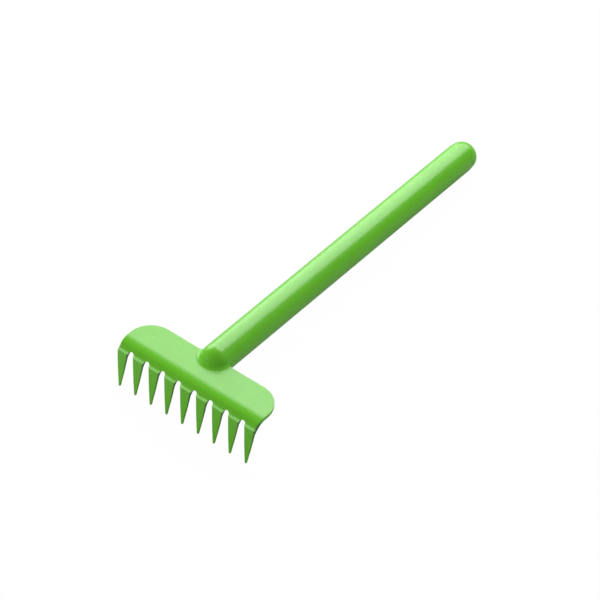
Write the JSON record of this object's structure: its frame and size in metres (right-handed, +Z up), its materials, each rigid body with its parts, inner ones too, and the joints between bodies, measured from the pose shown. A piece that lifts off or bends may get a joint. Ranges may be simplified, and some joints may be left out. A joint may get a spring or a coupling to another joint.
{
  "type": "toy sand rake",
  "caption": "Child's sand rake: one-piece toothed head with a bent lip and round nose, straight round handle, domed end.",
  "frame": {"origin": "on the ground, below the middle of the rake as it rests on its tooth tips and the end of its handle", "axes": "+X across the head, +Y from the teeth back along the handle, +Z up"},
  "size_m": [0.1002, 0.272, 0.0366],
  "materials": {
    "head_plastic": "satin moulded polypropylene, leaf green",
    "handle_plastic": "satin moulded polypropylene, leaf green"
  },
  "bodies": {
    "root": {"rake_head": "head_plastic", "handle_tube": "handle_plastic", "end_plug": "handle_plastic"}
  },
  "joints": []
}
